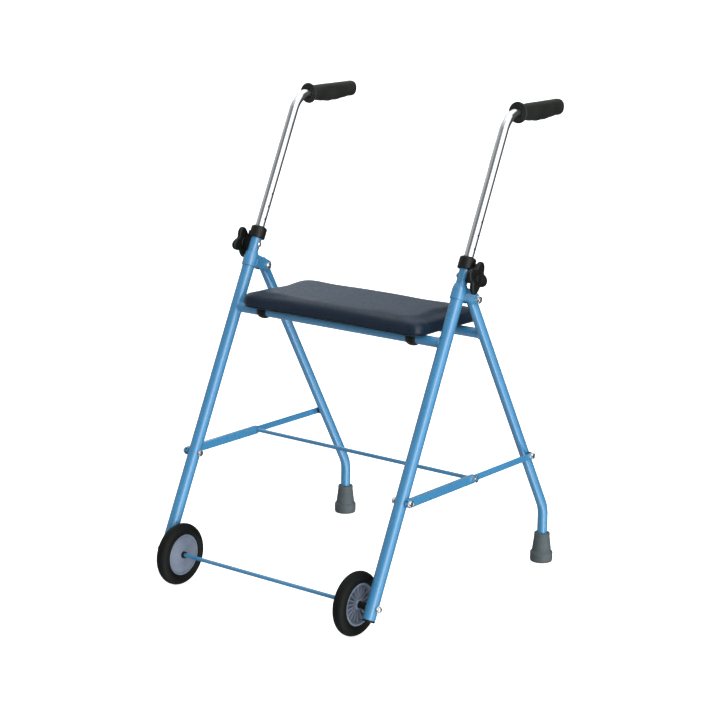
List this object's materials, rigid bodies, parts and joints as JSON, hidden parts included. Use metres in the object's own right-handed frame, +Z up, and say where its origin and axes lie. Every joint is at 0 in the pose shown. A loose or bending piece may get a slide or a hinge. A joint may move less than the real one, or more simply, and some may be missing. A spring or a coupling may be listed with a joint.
{
  "type": "folding walking frame",
  "caption": "Folding walking frame with front wheels, rubber rear feet, a padded seat, hinged side braces and height-adjustable handles.",
  "frame": {"origin": "on the floor, at the middle of the frame's bounding box", "axes": "+Z up, -Y the walking direction (wheels in front), +Y towards the user, +X the user's left"},
  "size_m": [0.5926, 0.6722, 0.9685],
  "materials": {
    "blue_paint": "gloss",
    "zinc_plate": "satin",
    "black_plastic": "satin",
    "chrome": "polished",
    "grip_rubber": "matte",
    "tyre_rubber": "matte",
    "hub_grey": "satin",
    "ferrule_rubber": "matte",
    "navy_vinyl": "semi-gloss",
    "plywood": "matte"
  },
  "bodies": {
    "front_frame": {"front_leg_left": "blue_paint", "front_leg_right": "blue_paint", "upper_tube_left": "blue_paint", "upper_tube_right": "blue_paint", "hinge_bracket_left": "blue_paint", "hinge_bracket_right": "blue_paint", "front_cross_tube": "blue_paint", "axle_rod": "blue_paint", "axle_nut_left": "zinc_plate", "axle_nut_right": "zinc_plate", "leg_plug_left": "black_plastic", "leg_plug_right": "black_plastic", "clamp_collar_left": "black_plastic", "clamp_collar_right": "black_plastic", "clamp_bolt_left": "zinc_plate", "clamp_bolt_right": "zinc_plate", "hinge_bolt_left": "zinc_plate", "hinge_bolt_right": "zinc_plate", "hinge_nut_left": "zinc_plate", "hinge_nut_right": "zinc_plate", "front_brace_bolt_left": "zinc_plate", "front_brace_bolt_right": "zinc_plate", "front_brace_nut_left": "zinc_plate", "front_brace_nut_right": "zinc_plate"},
    "rear_frame": {"rear_leg_left": "blue_paint", "rear_leg_right": "blue_paint", "rear_cross_tube": "blue_paint", "ferrule_left": "ferrule_rubber", "ferrule_right": "ferrule_rubber", "brace_spacer_left": "black_plastic", "brace_spacer_right": "black_plastic"},
    "front_braces": {"front_link_left": "blue_paint", "front_link_right": "blue_paint", "brace_cross_rod": "blue_paint", "rod_nut_left": "zinc_plate", "rod_nut_right": "zinc_plate"},
    "rear_brace_left": {"rear_link_left": "blue_paint", "rear_brace_bolt_left": "zinc_plate"},
    "rear_brace_right": {"rear_link_right": "blue_paint", "rear_brace_bolt_right": "zinc_plate"},
    "seat": {"seat_pad": "navy_vinyl", "seat_board": "plywood", "seat_clip_left": "black_plastic", "seat_clip_right": "black_plastic", "seat_rest_left": "black_plastic", "seat_rest_right": "black_plastic", "seat_screw_left": "zinc_plate", "seat_screw_right": "zinc_plate"},
    "handle_left_body": {"handle_tube_left": "chrome", "grip_left": "grip_rubber"},
    "clamp_knob_left": {"knob_left": "black_plastic"},
    "wheel_left": {"tyre_left": "tyre_rubber", "hub_left": "hub_grey", "hub_bush_left": "black_plastic"},
    "handle_right_body": {"handle_tube_right": "chrome", "grip_right": "grip_rubber"},
    "clamp_knob_right": {"knob_right": "black_plastic"},
    "wheel_right": {"tyre_right": "tyre_rubber", "hub_right": "hub_grey", "hub_bush_right": "black_plastic"}
  },
  "joints": [
    {"name": "rear_frame_fold", "type": "hinge", "parent": "front_frame", "child": "rear_frame", "pos_m": [0, 0.02505, 0.6035], "axis": [-1, 0, 0], "range_deg": [0, 50]},
    {"name": "front_brace_fold", "type": "hinge", "parent": "front_frame", "child": "front_braces", "pos_m": [0, -0.18785, 0.248], "axis": [1, 0, 0], "range_deg": [0, 54.9]},
    {"name": "rear_brace_fold_left", "type": "hinge", "parent": "front_braces", "child": "rear_brace_left", "pos_m": [0, 0.0233, 0.248], "axis": [-1, 0, 0], "range_deg": [0, 157.6]},
    {"name": "rear_brace_fold_right", "type": "hinge", "parent": "front_braces", "child": "rear_brace_right", "pos_m": [0, 0.0233, 0.248], "axis": [-1, 0, 0], "range_deg": [0, 157.6]},
    {"name": "seat_tilt", "type": "hinge", "parent": "front_frame", "child": "seat", "pos_m": [0, -0.05801, 0.529], "axis": [1, 0, 0], "range_deg": [0, 75]},
    {"name": "handle_height_left", "type": "slide", "parent": "front_frame", "child": "handle_left_body", "axis": [0, 0.4195, 0.9078], "range_m": [-0.108, 0.054]},
    {"name": "clamp_knob_turn_left", "type": "hinge", "parent": "front_frame", "child": "clamp_knob_left", "pos_m": [0.29, -0.00161, 0.65106], "axis": [1, 0, 0], "range_deg": [0, 720]},
    {"name": "wheel_spin_left", "type": "hinge", "parent": "front_frame", "child": "wheel_left", "pos_m": [0.222, -0.27357, 0.0625], "axis": [1, 0, 0], "continuous": true},
    {"name": "handle_height_right", "type": "slide", "parent": "front_frame", "child": "handle_right_body", "axis": [0, 0.4195, 0.9078], "range_m": [-0.108, 0.054]},
    {"name": "clamp_knob_turn_right", "type": "hinge", "parent": "front_frame", "child": "clamp_knob_right", "pos_m": [-0.29, -0.00161, 0.65106], "axis": [-1, 0, 0], "range_deg": [0, 720]},
    {"name": "wheel_spin_right", "type": "hinge", "parent": "front_frame", "child": "wheel_right", "pos_m": [-0.222, -0.27357, 0.0625], "axis": [1, 0, 0], "continuous": true}
  ],
  "couplings": [
    {"joint": "front_brace_fold", "follows": "rear_frame_fold", "ratio": 1.0959},
    {"joint": "rear_brace_fold_left", "follows": "rear_frame_fold", "ratio": 3.1506},
    {"joint": "rear_brace_fold_right", "follows": "rear_frame_fold", "ratio": 3.1506}
  ]
}
